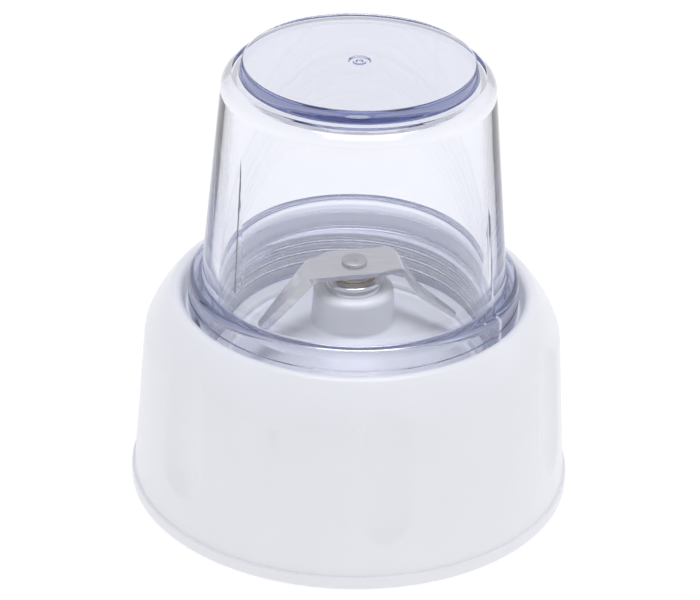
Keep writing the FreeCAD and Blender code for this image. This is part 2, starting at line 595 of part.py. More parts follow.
def wing_side(side, sheet_offset, runs):
    """One edge of the bent sheet from the flat outwards. runs is a list of (bend angle, bend radius,
    length) with the radius at the sheet's lower face, negative where the wing bends back up. It gives
    the corners in order, for the top face (offset 0) or the lower one (offset of one thickness)."""
    edge, runs = runs[0], runs[1:]
    x, z = edge, d.blade_top - sheet_offset
    heading = Size(0.0)
    corners = [(side * x, z)]
    for turn_by, bend, length in runs:
        upward = bend.value < 0
        radius = -bend + sheet_offset if upward else bend + d.blade_sheet - sheet_offset
        start, heading = heading, heading + turn_by
        way = Size(-1.0 if upward else 1.0)
        x = x + way * radius * (sine(heading) - sine(start))
        z = z + way * radius * (cosine(heading) - cosine(start))
        sense = (-1 if upward else 1) * (-1 if side > 0 else 1)
        corners.append((side * x, z, radius * sense))
        x = x + length * cosine(heading)
        z = z - length * sine(heading)
        corners.append((side * x, z))
    return corners


def backwards(corners):
    """The same run of corners from its far end, with each arc's radius kept with its own arc."""
    points = [c[:2] for c in corners]
    radii = [c[2:] for c in corners]
    result = [points[-1]]
    for i in range(len(points) - 1, 0, -1):
        flipped = tuple(-r for r in radii[i])
        result.append((*points[i - 1], *flipped))
    return result


def make_blade():
    """Bent sheet cutter: a flat middle and two wings bent down, the right one flatter at its tip."""
    left = [d.blade_flat_left, (d.left_wing_angle, d.blade_bend, d.left_wing_length)]
    right = [d.blade_flat_right, (d.right_wing_angle, d.blade_bend, d.right_wing_length),
             (d.right_tip_angle - d.right_wing_angle, -d.right_tip_bend, d.right_tip_length)]
    top_left, top_right = wing_side(-1, 0, left), wing_side(1, 0, right)
    low_left, low_right = wing_side(-1, d.blade_sheet, left), wing_side(1, d.blade_sheet, right)
    strip = new_body("blade_strip")
    sketch = new_sketch(strip, "blade_side")
    draw(sketch, backwards(top_left) + top_right + backwards(low_right) + low_left)
    pad(strip, "blade_strip_pad", sketch, d.blade_half_width * 3, both_ways=True)

    half, tip = d.blade_half_width, d.wing_tip_half_width
    plan = new_body("blade_plan")
    sketch = new_sketch(plan, "blade_outline", "XY_Plane", level=d.blade_plan_level)
    left_end, right_end = -d.blade_flat_left, d.blade_flat_right
    shoulder = right_end + d.blade_shoulder
    draw(sketch, [
        (left_end - 1, -half), (right_end - d.blade_clip_right, -half), (right_end, -half + 1.6),
        (shoulder, -d.blade_corner), (d.right_tip_near, -tip), (d.right_tip_reach, tip * 0.2),
        (d.right_tip_far, tip * 1.5), (shoulder, d.blade_corner), (right_end + 0.5, half - 0.6),
        (right_end - 0.8, half), (left_end + d.blade_clip_left, half), (left_end, half - 3),
        (left_end - 4, d.blade_corner), (-d.left_tip_reach, tip), (-d.left_tip_reach, -tip)])
    pad(plan, "blade_plan_pad", sketch, d.blade_top - d.blade_plan_level + PAST)
    cut = combine("Common", "blade_blank", strip, plan)
    depth = d.blade_hole_depth
    hole = cylinder("blade_hole", d.shaft_neck + 0.05, 2 * depth, d.blade_top - depth)
    place(combine("Cut", "cutter_blade", cut, hole), turn=d.blade_turned)


def make_shaft_rings():
    """Washers, spacer and clip that ride on the shaft."""
    inner = d.shaft_radius + 0.05
    tube("blade_spacer", inner, d.spacer_radius, d.spacer_bottom, d.shaft_shoulder)
    tube("upper_thrust_washer", inner, d.top_washer_radius, d.top_washer_bottom, d.spacer_bottom)
    tube("lower_thrust_washer", inner, d.low_washer_radius, d.clip_top, d.low_washer_top)
    ring = tube("clip_ring", d.clip_groove + 0.05, d.clip_radius, d.clip_bottom + 0.05, d.clip_top - 0.05)
    gap = box("clip_slot", d.clip_radius + PAST, d.clip_gap, 3, bottom=d.clip_bottom - PAST, turn=90)
    combine("Cut", "shaft_circlip", ring, gap)


def make_coupling():
    """Six-lobed rubber coupling round a steel insert, held on the shaft's end by a screw and washer."""
    low, top = d.coupling_bottom, d.insert_top
    blank = turned("coupling_hub_turned", [
        (d.coupling_bore, low), (d.coupling_hub - d.coupling_bevel, low),
        (d.coupling_hub, low + d.coupling_bevel),
        (d.coupling_hub, d.coupling_disc_bottom), (d.coupling_disc, d.coupling_disc_bottom),
        (d.coupling_disc, top - 0.5), (d.coupling_disc - 0.5, top), (d.insert_flange + d.insert_fit, top),
        (d.insert_flange + d.insert_fit, d.insert_step), (d.coupling_bore, d.insert_step)])
    lobes = [cylinder(f"lobe{number}", d.lobe_radius, d.coupling_disc_bottom - low + 0.5, low,
                      d.lobe_reach, turn) for number, turn in enumerate(around(d.lobe_count))]
    bore = cylinder("coupling_clear", d.coupling_bore, THROUGH)
    combine("Cut", "drive_coupling", combine("MultiFuse", "coupling_blank", blank, *lobes), bore)

    insert = turned("insert_turned", [
        (0, d.insert_bottom), (d.insert_radius, d.insert_bottom), (d.insert_radius, d.insert_step),
        (d.insert_flange, d.insert_step), (d.insert_flange, d.insert_top), (0, d.insert_top)])
    socket = doc.addObject("Part::Prism", "insert_socket")
    socket.Polygon = 6
    bind(socket, Circumradius=d.shaft_hexagon + d.insert_fit, Height=THROUGH)
    place(socket, z=d.insert_bottom - PAST)
    combine("Cut", "coupling_insert", insert, socket)

    tube("coupling_washer", d.screw_hole + 0.1, d.coupling_washer_radius, d.coupling_washer_bottom,
         d.insert_bottom)
    blank = turned("coupling_screw_turned", [
        (0, d.coupling_screw_bottom), (d.coupling_screw_head - 0.5, d.coupling_screw_bottom),
        (d.coupling_screw_head, d.coupling_screw_bottom + 0.5, 0.5),
        (d.coupling_screw_head, d.coupling_washer_bottom),
        (d.coupling_screw_radius, d.coupling_washer_bottom),
        (d.coupling_screw_radius, d.coupling_screw_top - 0.5),
        (d.coupling_screw_radius - 0.5, d.coupling_screw_top), (0, d.coupling_screw_top)])
    recess = doc.addObject("Part::Prism", "coupling_screw_recess")
    recess.Polygon = 6
    bind(recess, Circumradius=d.coupling_screw_recess, Height=d.coupling_recess_depth + PAST)
    place(recess, z=d.coupling_screw_bottom - PAST)
    combine("Cut", "coupling_screw", blank, recess)


# ---------------------------------------------------------------- build, check and write

SUB_PARTS = [
    "skirt_shell", "mill_bowl", "lock_ring", "housing_screws", "lock_ring_screws", "mill_cup", "cup_gasket",
    "bearing_sleeve", "sleeve_seal", "bearing_cap", "upper_bush", "lower_bush", "oil_felt", "shaft_seal",
    "nut_washer", "bearing_nut", "drive_shaft", "cutter_blade", "blade_spacer", "upper_thrust_washer",
    "lower_thrust_washer", "shaft_circlip", "drive_coupling", "coupling_insert", "coupling_washer",
    "coupling_screw",
]

make_skirt()
make_bowl()
make_lock_ring()
make_screws("housing_screws", BOWL_POSTS, d.bowl_post_reach, d.ear_bottom)
make_screws("lock_ring_screws", LOCK_POSTS, d.lock_post_reach, d.lock_top - d.lock_flange_thickness)
make_cup()
make_gasket()
make_bearing()
make_shaft()
make_blade()
make_shaft_rings()
make_coupling()
doc.recompute()

for item in doc.Objects:
    if "Invalid" in item.State or "Error" in item.State:
        raise RuntimeError(f"{item.Label} failed: {item.State}")

os.makedirs("parts", exist_ok=True)
for label in SUB_PARTS:
    shape = doc.getObjectsByLabel(label)[0].Shape
    if shape.isNull() or not shape.isValid() or not shape.Solids:
        raise RuntimeError(f"{label} has no valid solid")
    shape.exportStep(f"parts/{label}.step")
    print(f"{label}: {len(shape.Solids)} solid, {shape.Volume:.0f} mm3, "
          f"z {shape.BoundBox.ZMin:.2f} to {shape.BoundBox.ZMax:.2f}")
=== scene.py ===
"""Studio scene of the dry mill: rounded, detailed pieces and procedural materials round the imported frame.

Shapes are worked out in millimetres, on the frame's own axes, and turned into metres as each mesh is made.
"""
import math

import bmesh
import bpy
import numpy as np
from mathutils import Matrix, Vector


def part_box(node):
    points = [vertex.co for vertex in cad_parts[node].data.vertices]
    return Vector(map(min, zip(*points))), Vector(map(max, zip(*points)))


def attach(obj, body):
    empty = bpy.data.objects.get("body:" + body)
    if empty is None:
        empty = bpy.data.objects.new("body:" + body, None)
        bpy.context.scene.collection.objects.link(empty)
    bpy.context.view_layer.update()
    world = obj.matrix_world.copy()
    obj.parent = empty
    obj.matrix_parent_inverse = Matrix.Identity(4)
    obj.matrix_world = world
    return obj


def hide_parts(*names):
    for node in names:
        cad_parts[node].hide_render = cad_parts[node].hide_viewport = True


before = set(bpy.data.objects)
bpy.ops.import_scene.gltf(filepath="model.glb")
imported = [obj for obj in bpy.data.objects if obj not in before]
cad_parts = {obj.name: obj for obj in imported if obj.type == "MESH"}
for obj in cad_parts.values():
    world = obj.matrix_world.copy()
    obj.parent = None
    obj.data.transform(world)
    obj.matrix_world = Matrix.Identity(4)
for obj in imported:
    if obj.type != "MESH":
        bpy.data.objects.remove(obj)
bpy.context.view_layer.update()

MM = 0.001
TURN = 2 * math.pi


# ---------------------------------------------------------------- places read from the frame

def levels(node):
    """Lowest and highest level of a CAD node, in millimetres."""
    low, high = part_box(node)
    return low.z / MM, high.z / MM


def reach(node):
    """Outer radius of a round CAD node, in millimetres."""
    low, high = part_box(node)
    return (high.x - low.x) / 2 / MM


# ---------------------------------------------------------------- sections and solids of revolution

def arc(start, end, radius, steps=10):
    """The points after start on a circular arc to end, anticlockwise where the radius is positive."""
    start, end = np.array(start, float), np.array(end, float)
    chord = end - start
    length = np.linalg.norm(chord)
    side = np.array([-chord[1], chord[0]]) / length
    centre = (start + end) / 2 + side * math.copysign(math.sqrt(radius ** 2 - length ** 2 / 4), radius)
    first = math.atan2(*(start - centre)[::-1])
    swing = math.copysign(2 * math.asin(length / 2 / abs(radius)), radius)
    angles = first + swing * np.linspace(0, 1, steps + 1)[1:]
    return [tuple(centre + abs(radius) * np.array([math.cos(a), math.sin(a)])) for a in angles]


def fillet(back, corner, ahead, radius):
    """The arc that rounds one corner, as a list of points."""
    to_back, to_ahead = back - corner, ahead - corner
    lengths = np.linalg.norm(to_back), np.linalg.norm(to_ahead)
    to_back, to_ahead = to_back / lengths[0], to_ahead / lengths[1]
    half = math.acos(np.clip(to_back @ to_ahead, -1, 1)) / 2
    if half > math.radians(89):
        return [corner]
    tangent = min(radius / math.tan(half), 0.45 * lengths[0], 0.45 * lengths[1])
    middle = to_back + to_ahead
    centre = corner + middle / np.linalg.norm(middle) * tangent / math.cos(half)
    first, last = corner + to_back * tangent - centre, corner + to_ahead * tangent - centre
    swing = math.pi - 2 * half
    steps = max(3, math.ceil(swing / math.radians(14)))
    return [centre + (math.sin((1 - t) * swing) * first + math.sin(t * swing) * last) / math.sin(swing)
            for t in np.linspace(0, 1, steps + 1)]


def outline(corners, run=2.0, closed=True):
    """A section of (r, z) points through corners (r, z) or (r, z, fillet radius). Straight stretches are
    divided, with a short step next to each fillet so that shading stays flat on the straight part."""
    places = [np.array(c[:2], float) for c in corners]
    count = len(places)
    stretches = []
    for i, corner in enumerate(corners):
        free_end = not closed and i in (0, count - 1)
        if len(corner) == 2 or free_end:
            stretches.append([places[i]])
        else:
            stretches.append(fillet(places[i - 1], places[i], places[(i + 1) % count], corner[2]))
    points = []
    for i, stretch in enumerate(stretches):
        points += stretch
        if not closed and i == count - 1:
            break
        start, end = stretch[-1], stretches[(i + 1) % count][0]
        length = np.linalg.norm(end - start)
        if length < 1e-6:
            points.pop()
            continue
        short = min(0.2, length / 4)
        inner = np.linspace(short, length - short, max(2, math.ceil((length - 2 * short) / run) + 1))
        if length > 0.4:
            points += [start + (end - start) * t / length for t in inner]
    return np.array(points)


def finer(section, run, low, high, inner=0.0, outer=math.inf):
    """The section with its steps divided down to run, between two levels and two radii."""
    points = [section[0]]
    for a, b in zip(section[:-1], section[1:]):
        middle = (a + b) / 2
        pieces = 1
        if low < middle[1] < high and inner < middle[0] < outer:
            pieces = max(1, math.ceil(np.linalg.norm(b - a) / run))
        points += [a + (b - a) * k / pieces for k in range(1, pieces + 1)]
    return np.array(points)


def spin(section, around=192, closed=True, shift=None):
    """Points and faces of a section turned about Z. around is a number of columns or their angles, and
    shift changes each point's radius and level from its radius, level and angle."""
    turns = np.arange(around) * TURN / around if isinstance(around, int) else np.asarray(around)
    start_pole, end_pole = (not closed and section[i][0] < 1e-6 for i in (0, -1))
    ring = section[1 if start_pole else 0:len(section) - (1 if end_pole else 0)]
    radii, angles = np.meshgrid(ring[:, 0], turns, indexing="ij")
    heights = np.repeat(ring[:, 1:], len(turns), axis=1)
    if shift is not None:
        radii, heights = shift(radii, heights, angles)
    points = np.stack([radii * np.cos(angles), radii * np.sin(angles), heights], -1).reshape(-1, 3)
    rows, columns = radii.shape
    index = np.arange(rows * columns).reshape(rows, columns)
    below, above = (index, np.roll(index, -1, 0)) if closed else (index[:-1], index[1:])
    quads = np.stack([below, np.roll(below, -1, 1), np.roll(above, -1, 1), above], -1).reshape(-1, 4)
    faces = quads.tolist()
    for pole, row, tip in ((start_pole, index[0], section[0]), (end_pole, index[-1], section[-1])):
        if pole:
            points = np.vstack([points, [0, 0, tip[1]]])
            after = np.roll(row, -1)
            faces += [[len(points) - 1, int(a), int(b)] for a, b in zip(row, after)]
    return points, faces


def prism(corners, low, high, bevel=0.3):
    """An upright prism over a convex outline of (x, y) corners, with bevelled ends."""
    plan = np.array(corners, float)
    centre = plan.mean(0)
    arms = plan - centre
    inset = centre + arms * (1 - bevel / np.linalg.norm(arms, axis=1, keepdims=True))
    rings = [(inset, low), (plan, low + bevel), (plan, high - bevel), (inset, high)]
    points = np.vstack([np.column_stack([ring, np.full(len(plan), z)]) for ring, z in rings])
    count = len(plan)
    faces = [[level * count + i, level * count + (i + 1) % count,
              (level + 1) * count + (i + 1) % count, (level + 1) * count + i]
             for level in range(3) for i in range(count)]
    faces += [list(range(count))[::-1], list(range(3 * count, 4 * count))]
    return points, faces


def moved(part, x=0, turn=0):
    """A part moved along X, then turned about the Z axis, in degrees."""
    points = part[0] + np.array([x, 0, 0])
    c, s = math.cos(math.radians(turn)), math.sin(math.radians(turn))
    return points @ np.array([[c, s, 0], [-s, c, 0], [0, 0, 1]]), part[1]


def joined(*parts):
    """Several parts as one."""
    points, faces, count = [], [], 0
    for part_points, part_faces in parts:
        points.append(part_points)
        faces += [[i + count for i in face] for face in part_faces]
        count += len(part_points)
    return np.vstack(points), faces


def to_mesh(name, part):
    """A Blender mesh of a part, in metres, with its faces turned outwards."""
    mesh = bpy.data.meshes.new(name)
    mesh.from_pydata((part[0] * MM).tolist(), [], part[1])
    build = bmesh.new()
    build.from_mesh(mesh)
    bmesh.ops.recalc_face_normals(build, faces=build.faces)
    build.to_mesh(mesh)
    build.free()
    return mesh


def carved(part, tool):
    """A part with a tool's shape cut out of it."""
    pair = [bpy.data.objects.new(n, to_mesh(n, p)) for n, p in (("blank", part), ("tool", tool))]
    for item in pair:
        bpy.context.scene.collection.objects.link(item)
    cut = pair[0].modifiers.new("cut", "BOOLEAN")
    cut.object, cut.solver = pair[1], "EXACT"
    bpy.context.view_layer.update()
    result = pair[0].evaluated_get(bpy.context.evaluated_depsgraph_get()).data
    points = np.array([v.co for v in result.vertices]) / MM
    faces = [list(f.vertices) for f in result.polygons]
    for item in pair:
        bpy.data.objects.remove(item)
    return points, faces


def piece(name, node, body, slot, *parts, sharp=40):
    """A finished piece that stands for a CAD node and rides on its body."""
    mesh = to_mesh(name, joined(*parts))
    mesh.shade_smooth()
    mesh.set_sharp_from_angle(angle=math.radians(sharp))
    thing = bpy.data.objects.new(name, mesh)
    bpy.context.scene.collection.objects.link(thing)
    mesh.materials.append(FINISHES[slot])
    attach(thing, body)
    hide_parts(node)
    return thing


# ---------------------------------------------------------------- materials

class Finish:
    """A Principled material with short calls for the procedural detail in front of it."""

    def __init__(self, name, color, roughness, **sockets):
        self.material = bpy.data.materials.new(name)
        self.material.use_nodes = True
        self.nodes, self.links = self.material.node_tree.nodes, self.material.node_tree.links
        self.shader = self.nodes["Principled BSDF"]
        self.output = self.nodes["Material Output"]
        self.place = self.nodes.new("ShaderNodeTexCoord").outputs["Object"]
        self.set("Base Color", (*color, 1))
        self.set("Roughness", roughness)
        for socket, value in sockets.items():
            self.set(socket.replace("_", " "), value)

    def set(self, socket, value):
        self.shader.inputs[socket].default_value = value

    def stretched(self, stretch, turn=0):
        mapping = self.nodes.new("ShaderNodeMapping")
        mapping.inputs["Scale"].default_value = stretch
        mapping.inputs["Rotation"].default_value = (0, 0, math.radians(turn))
        self.links.new(self.place, mapping.inputs["Vector"])
        return mapping.outputs["Vector"]

    def noise(self, per_mm, detail=4, where=None, distortion=0.0):
        """A noise value with this many features in a millimetre."""
        node = self.nodes.new("ShaderNodeTexNoise")
        node.inputs["Scale"].default_value = per_mm / MM
        node.inputs["Detail"].default_value = detail
        node.inputs["Distortion"].default_value = distortion
        self.links.new(where or self.place, node.inputs["Vector"])
        return node.outputs["Fac"]

    def blended(self, value, low, high, start=0.3, end=0.7):
        """A colour or grey ramp driven by a value."""
        ramp = self.nodes.new("ShaderNodeValToRGB")
        for element, position, shade in zip(ramp.color_ramp.elements, (start, end), (low, high)):
            element.position = position
            element.color = (*shade, 1) if isinstance(shade, tuple) else (shade, shade, shade, 1)
        self.links.new(value, ramp.inputs["Fac"])
        return ramp.outputs["Color"]

    def drive(self, socket, value):
        self.links.new(value, self.shader.inputs[socket])

    def bump(self, value, height):
        """Raise the surface by a value, up to a height in millimetres, over any bump set before it."""
        node = self.nodes.new("ShaderNodeBump")
        node.inputs["Distance"].default_value = height * MM
        node.inputs["Strength"].default_value = 1.0
        self.links.new(value, node.inputs["Height"])
        earlier = self.shader.inputs["Normal"].links
        if earlier:
            self.links.new(earlier[0].from_socket, node.inputs["Normal"])
        self.links.new(node.outputs["Normal"], self.shader.inputs["Normal"])


def white_plastic():
    """Glossy white moulding with a faint orange peel and slight cloudiness."""
    finish = Finish("white_plastic", (0.88, 0.885, 0.905), 0.34, IOR=1.5, Coat_Weight=0.25,
                    Coat_Roughness=0.12, Subsurface_Weight=0.12, Subsurface_Scale=0.0015)
    finish.set("Subsurface Radius", (1.0, 0.95, 0.85))
    cloud = finish.noise(0.05, detail=3)
    finish.drive("Base Color", finish.blended(cloud, (0.875, 0.88, 0.90), (0.89, 0.895, 0.915)))
    finish.drive("Roughness", finish.blended(finish.noise(0.4, detail=6), 0.29, 0.39))
    finish.bump(finish.noise(0.35, detail=2), 0.012)
    finish.bump(finish.noise(6.0, detail=3), 0.0012)
    return finish.material


def nylon():
    """White glass-filled nylon with a sparked, matt surface."""
    finish = Finish("nylon", (0.74, 0.74, 0.73), 0.5, IOR=1.53, Subsurface_Weight=0.05,
                    Subsurface_Scale=0.001)
    cloud = finish.noise(0.2, detail=5)
    finish.drive("Base Color", finish.blended(cloud, (0.72, 0.72, 0.71), (0.77, 0.77, 0.765)))
    finish.drive("Roughness", finish.blended(finish.noise(2.0), 0.45, 0.6))
    finish.bump(finish.noise(4.0, detail=6), 0.01)
    return finish.material


def clear_plastic():
    """Clear polycarbonate: bends light, tints long paths blue and lets lamps reach what it covers."""
    finish = Finish("clear_plastic", (1, 1, 1), 0.012, IOR=1.57, Transmission_Weight=1.0)
    finish.bump(finish.noise(0.06, detail=1), 0.02)
    depth = finish.nodes.new("ShaderNodeVolumeAbsorption")
    depth.inputs["Color"].default_value = (0.28, 0.35, 0.70, 1)
    depth.inputs["Density"].default_value = 20.0
    finish.links.new(depth.outputs["Volume"], finish.output.inputs["Volume"])
    rays = finish.nodes.new("ShaderNodeLightPath")
    passing = finish.nodes.new("ShaderNodeBsdfTransparent")
    passing.inputs["Color"].default_value = (0.985, 0.985, 0.99, 1)
    switch = finish.nodes.new("ShaderNodeMixShader")
    finish.links.new(rays.outputs["Is Shadow Ray"], switch.inputs[0])
    finish.links.new(finish.shader.outputs["BSDF"], switch.inputs[1])
    finish.links.new(passing.outputs["BSDF"], switch.inputs[2])
    finish.links.new(switch.outputs["Shader"], finish.output.inputs["Surface"])
    return finish.material


def stainless():
    """Cold-rolled stainless sheet, brushed along the blade."""
    finish = Finish("stainless", (0.66, 0.655, 0.65), 0.2, Metallic=1.0)
    along = finish.stretched((0.06, 1.0, 1.0), turn=-12)
    grain = finish.noise(3.0, detail=8, where=along)
    finish.drive("Base Color", finish.blended(grain, (0.70, 0.695, 0.69), (0.80, 0.795, 0.79)))
    finish.drive("Roughness", finish.blended(finish.noise(2.0, detail=6, where=along), 0.12, 0.26))
    finish.bump(grain, 0.004)
    return finish.material


def turned_steel(name, tone, low, high, lines):
    """Steel with fine rings left by turning, wider apart where lines is smaller."""
    bright = (tone, tone, tone * 1.01)
    dull = (tone * 0.9, tone * 0.9, tone * 0.92)
    finish = Finish(name, bright, (low + high) / 2, Metallic=1.0)
    patch = finish.noise(0.5, detail=5)
    finish.drive("Roughness", finish.blended(patch, low, high))
    finish.drive("Base Color", finish.blended(patch, dull, bright))
    rings = finish.nodes.new("ShaderNodeTexWave")
    rings.wave_type, rings.rings_direction = "RINGS", "Z"
    rings.inputs["Scale"].default_value = lines / MM
    rings.inputs["Distortion"].default_value = 0.6
    finish.links.new(finish.place, rings.inputs["Vector"])
    finish.bump(rings.outputs["Fac"], 0.002)
    finish.bump(finish.noise(4.0, detail=5), 0.002)
    return finish.material


def bronze():
    """Sintered bronze, speckled with open pores."""
    finish = Finish("bronze", (0.50, 0.29, 0.13), 0.42, Metallic=1.0)
    pores = finish.noise(5.0, detail=7)
    finish.drive("Base Color", finish.blended(pores, (0.30, 0.16, 0.07), (0.56, 0.33, 0.15), 0.35, 0.5))
    finish.drive("Roughness", finish.blended(pores, 0.6, 0.36, 0.35, 0.5))
    finish.bump(pores, 0.02)
    return finish.material


def silicone():
    """Milky silicone."""
    finish = Finish("silicone", (0.80, 0.80, 0.80), 0.42, IOR=1.41, Subsurface_Weight=0.35,
                    Subsurface_Scale=0.003, Sheen_Weight=0.1)
    finish.drive("Base Color", finish.blended(finish.noise(0.3), (0.78, 0.785, 0.79), (0.83, 0.83, 0.835)))
    finish.bump(finish.noise(2.5, detail=4), 0.008)
    return finish.material


def black_rubber():
    """Matt black moulded rubber."""
    finish = Finish("black_rubber", (0.025, 0.025, 0.027), 0.62, Sheen_Weight=0.15)
    bloom = finish.noise(0.4, detail=6)
    finish.drive("Base Color", finish.blended(bloom, (0.018, 0.018, 0.02), (0.045, 0.045, 0.047)))
    finish.drive("Roughness", finish.blended(bloom, 0.55, 0.72))
    finish.bump(finish.noise(5.0, detail=6), 0.012)
    return finish.material


def felt():
    """Oil-soaked grey felt with short matted fibres."""
    finish = Finish("felt", (0.25, 0.22, 0.17), 0.95, Sheen_Weight=0.4)
    fibres = finish.noise(3.0, detail=9, distortion=1.2)
    finish.drive("Base Color", finish.blended(fibres, (0.16, 0.14, 0.10), (0.34, 0.30, 0.24)))
    finish.bump(fibres, 0.12)
    return finish.material


FINISHES = {
    "white_plastic": white_plastic(),
    "clear_plastic": clear_plastic(),
    "stainless": stainless(),
    "polished_steel": turned_steel("polished_steel", 0.72, 0.08, 0.16, 2.2),
    "plain_steel": turned_steel("plain_steel", 0.55, 0.26, 0.42, 1.4),
    "bronze": bronze(),
    "silicone": silicone(),
    "black_rubber": black_rubber(),
    "nylon": nylon(),
    "felt": felt(),
}


# ---------------------------------------------------------------- white base

FLUTES = 6
FLUTE_FIRST = math.radians(-80.4)
FLUTE_SCOOP, FLUTE_DEPTH, FLUTE_LOW = 21.0, 2.0, 23.8
FLUTE_SOFT = 0.7
SKIRT_FOOT, SKIRT_SLOPE, STEP_LEVEL = 61.2, 3.1 / 42.9, 3.7
POST_FIRST = -50.4
SKIRT_WALL = 2.4
SKIRT_BEND, SKIRT_LEAN = math.radians(19), math.radians(42)
COLLAR, BORE_ROOM = 47.8, 0.4
BOWL_UNDER = 36.8
EAR_REACH, LOCK_POST_REACH = 51.2, 54.8
EAR_RADIUS, EAR_LOW, EAR_TOP = 4.4, 41.0, 44.0
BOWL_RIBS, BOWL_RIB_START, BOWL_RIB_END, BOWL_RIB_TOP = 6, 12.5, 34.0, 45.8
LUGS, LUG_DEPTH, LUG_HALF_ANGLE, LUG_HEIGHT = 3, 3.2, 12.0, 3.5


def soft_over(depth, softness):
    """A depth where it is positive, run out to nothing over the softness."""
    share = np.clip(0.5 + 0.5 * depth / softness, 0, 1)
    return depth * share + softness * share * (1 - share) / 2


def skirt_side(inset):
    """The skirt's side and shoulder from above the foot to the crest, moved inwards by a wall, and the
    hub and radius of the crest's round."""
    low_bend = (58.1 + SKIRT_SLOPE * 1.5 - inset, 45.1)
    high_bend = (58.1 - math.sin(SKIRT_BEND) * 1.5 - inset,
                 46.6 + math.cos(SKIRT_BEND) * 1.5 - inset * 0.2)
    hub, crest = (49.6, 57.2), 2.2 - inset
    top = (hub[0] + crest * math.cos(SKIRT_LEAN), hub[1] + crest * math.sin(SKIRT_LEAN))
    return ([(SKIRT_FOOT - inset, STEP_LEVEL), low_bend] + arc(low_bend, high_bend, 10 - inset, 6)
            + arc(high_bend, top, 35 - inset, 16)), hub, crest


def make_skirt():
    """Skirt shell with its foot rim, scalloped grips, shoulder, crest and screw posts."""
    outer, hub, crest = skirt_side(0)
    top_in = (hub[0] + crest * math.cos(math.radians(150)), hub[1] + crest * math.sin(math.radians(150)))
    inner = skirt_side(SKIRT_WALL)[0]
    lip = COLLAR + BORE_ROOM
    corners = ([(62.0, 0, 0.7), (62.0, 3.7, 0.6), (SKIRT_FOOT, 3.7, 0.25)] + outer[1:]
               + arc(outer[-1], top_in, crest, 12)
               + [(46.7, 55.6, 0.3), (46.7, 54.4, 0.25), (lip, 54.4)] + inner[:1:-1]
               + [(SKIRT_FOOT - SKIRT_WALL, 2.0), (SKIRT_FOOT - SKIRT_WALL, 0, 0.4)])
    section = finer(outline(corners, run=1.2), 0.8, 5, 56, inner=50)
    side = np.array(sorted((z, r) for r, z in outer))

    def scallops(radii, heights, angles):
        low = np.clip(FLUTE_LOW - heights, 0, FLUTE_SCOOP * 0.98)
        scoop = np.sqrt(FLUTE_SCOOP ** 2 - low ** 2)
        far = SKIRT_FOOT - SKIRT_SLOPE * (FLUTE_LOW - STEP_LEVEL) - FLUTE_DEPTH + FLUTE_SCOOP
        far = far - SKIRT_SLOPE * np.clip(heights - FLUTE_LOW, 0, None)
        skirt = np.interp(heights, side[:, 0], side[:, 1])
        depth = np.full(radii.shape, -1e3)
        for flute in range(FLUTES):
            off = angles - FLUTE_FIRST - flute * TURN / FLUTES
            across = far * np.sin(off)
            hit = far * np.cos(off) - np.sqrt(np.clip(scoop ** 2 - across ** 2, 0, None))
            found = (np.abs(across) < scoop) & (np.cos(off) > 0)
            depth = np.where(found, np.maximum(depth, skirt - hit), depth)
        depth = soft_over(np.clip(depth, -5, None), FLUTE_SOFT)
        on_side = (radii > lip + 0.5) & (heights > STEP_LEVEL + 2) & (heights < 56)
        return radii - np.where(on_side, depth, 0), heights

    shell = spin(section, around=540, shift=scallops)
    posts = []
    for number in range(FLUTES):
        on_ears = number % 2 == 0
        away, low, high = (EAR_REACH, EAR_TOP, 52.5) if on_ears else (LOCK_POST_REACH, 13.0, 45.0)
        hollow = outline([(1.3, low, 0.2), (3.4, low, 0.3), (3.4, high), (1.3, high)])
        posts.append(moved(spin(hollow, 40), x=away, turn=POST_FIRST + number * 360 / FLUTES))
    piece("skirt_shell_hero", "skirt_shell", "base", "white_plastic", shell, *posts, sharp=50)


THREAD_LEAD, THREAD_START = 6.2, 43.0
THREAD_ROOT, THREAD_TIP = 0.95, 0.25
THREAD_RUN_IN = 0.02
THREAD_ROW = 0.08


def thread_height(heights, angles, level, turns, first):
    """How far a two-start thread stands up at each point, from 0 at its root to 1 on its crest. level is
    the first start's on the X axis, and first is the angle, in turns, at which both starts begin."""
    height = np.zeros(heights.shape)
    for start in (0.0, 0.5):
        for lap in range(-2, 4):
            along = angles / TURN - start + lap
            middle = level + THREAD_LEAD * along
            side = (THREAD_ROOT - np.abs(heights - middle)) / (THREAD_ROOT - THREAD_TIP)
            fade = np.clip(np.minimum(along - first, first + turns - along) / THREAD_RUN_IN, 0, 1)
            height = np.maximum(height, np.clip(side, 0, 1) * fade)
    return height * height * (3 - 2 * height)


